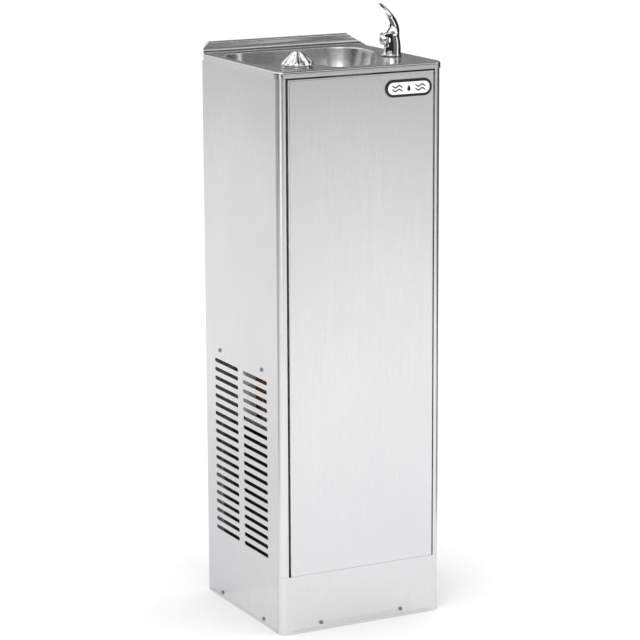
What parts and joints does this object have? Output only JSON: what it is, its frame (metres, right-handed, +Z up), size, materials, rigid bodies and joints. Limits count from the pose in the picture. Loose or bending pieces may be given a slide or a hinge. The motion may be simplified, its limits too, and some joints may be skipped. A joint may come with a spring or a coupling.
{
  "type": "drinking fountain",
  "caption": "Tall narrow stainless steel refrigerated drinking fountain with slotted sides, drawn bowl with back ridge, chrome bubbler and self-closing turn handle.",
  "frame": {"origin": "on the floor, at the centre of the footprint", "axes": "+Z up, -Y towards the user at the front, +Y towards the wall, +X to the user's right"},
  "size_m": [0.32, 0.3048, 1.0817],
  "materials": {
    "stainless": "vertical satin brush, lightly polished rolled edges",
    "galvanised": "zinc-coated mill finish",
    "chrome": "polished plate",
    "brass": "machined",
    "black_rubber": "moulded",
    "black_paint": "semi-gloss enamel",
    "fastener_steel": "plain zinc and stainless",
    "copper": "drawn copper tube",
    "fin_aluminium": "mill finish",
    "tank_steel": "bright",
    "foam": "closed-cell foam",
    "white_plastic": "moulded",
    "black_plastic": "moulded",
    "plate_white": "enamel"
  },
  "bodies": {
    "cabinet": {"basin_top": "stainless", "left_side_panel": "stainless", "right_side_panel": "stainless", "front_panel": "stainless", "kick_plate": "stainless", "base_pan": "galvanised", "front_left_post": "galvanised", "front_right_post": "galvanised", "back_left_post": "galvanised", "back_right_post": "galvanised", "side_rails": "galvanised", "component_shelf": "galvanised", "back_panel": "galvanised", "fan_shroud": "galvanised", "fan_bracket": "galvanised", "junction_box": "galvanised", "bubbler_body": "chrome", "bubbler_hood": "chrome", "bubbler_nozzle": "chrome", "valve_escutcheon": "chrome", "drain_body": "chrome", "drain_strainer": "chrome", "bubbler_shank": "brass", "deck_lock_nuts": "brass", "valve_body": "brass", "stop_valve_body": "brass", "bubbler_gasket": "black_rubber", "compressor_grommets": "black_rubber", "compressor_shell": "black_paint", "fan_motor": "black_paint", "condenser_tube": "black_paint", "condenser_fins": "black_paint", "panel_screws": "fastener_steel", "strainer_screw": "fastener_steel", "compressor_bolts": "fastener_steel", "valve_spring": "fastener_steel", "supply_tube": "copper", "cold_water_tube": "copper", "bubbler_tube": "copper", "discharge_line": "copper", "suction_line": "copper", "capillary_tube": "copper", "evaporator_coil": "copper", "filter_drier": "copper", "cooling_tank": "tank_steel", "foam_jacket_left": "foam", "foam_jacket_right": "foam", "waste_pipe": "white_plastic", "drain_slip_nut": "white_plastic", "name_plate_frame": "black_plastic", "thermostat_body": "black_plastic", "cord_gland": "black_plastic", "name_plate_face": "plate_white"},
    "valve_handle": {"valve_knob": "chrome", "knob_screw": "chrome", "valve_stem": "brass"},
    "fan": {"fan_blade": "fin_aluminium"},
    "dial": {"thermostat_dial": "black_plastic"},
    "stop_handle": {"stop_valve_handle": "black_plastic"},
    "flow_screw": {"flow_adjusting_screw": "brass"}
  },
  "joints": [
    {"name": "valve_turn", "type": "hinge", "parent": "cabinet", "child": "valve_handle", "pos_m": [-0.0945, -0.0975, 1], "axis": [0, 0, 1], "range_deg": [0, 90], "stiffness_Nm_per_rad": 0.15, "springref_deg": -11.46},
    {"name": "fan_spin", "type": "hinge", "parent": "cabinet", "child": "fan", "pos_m": [-0.09, 0, 0.23], "axis": [1, 0, 0], "continuous": true},
    {"name": "dial_turn", "type": "hinge", "parent": "cabinet", "child": "dial", "pos_m": [-0.07, -0.096, 0.45], "axis": [0, 1, 0], "range_deg": [-135, 135]},
    {"name": "stop_turn", "type": "hinge", "parent": "cabinet", "child": "stop_handle", "pos_m": [0.008, 0.08, 0.12], "axis": [0, 1, 0], "range_deg": [0, 90]},
    {"name": "flow_turn", "type": "hinge", "parent": "cabinet", "child": "flow_screw", "pos_m": [-0.0945, -0.08, 0.9524], "axis": [0, 1, 0], "range_deg": [-180, 180]}
  ]
}
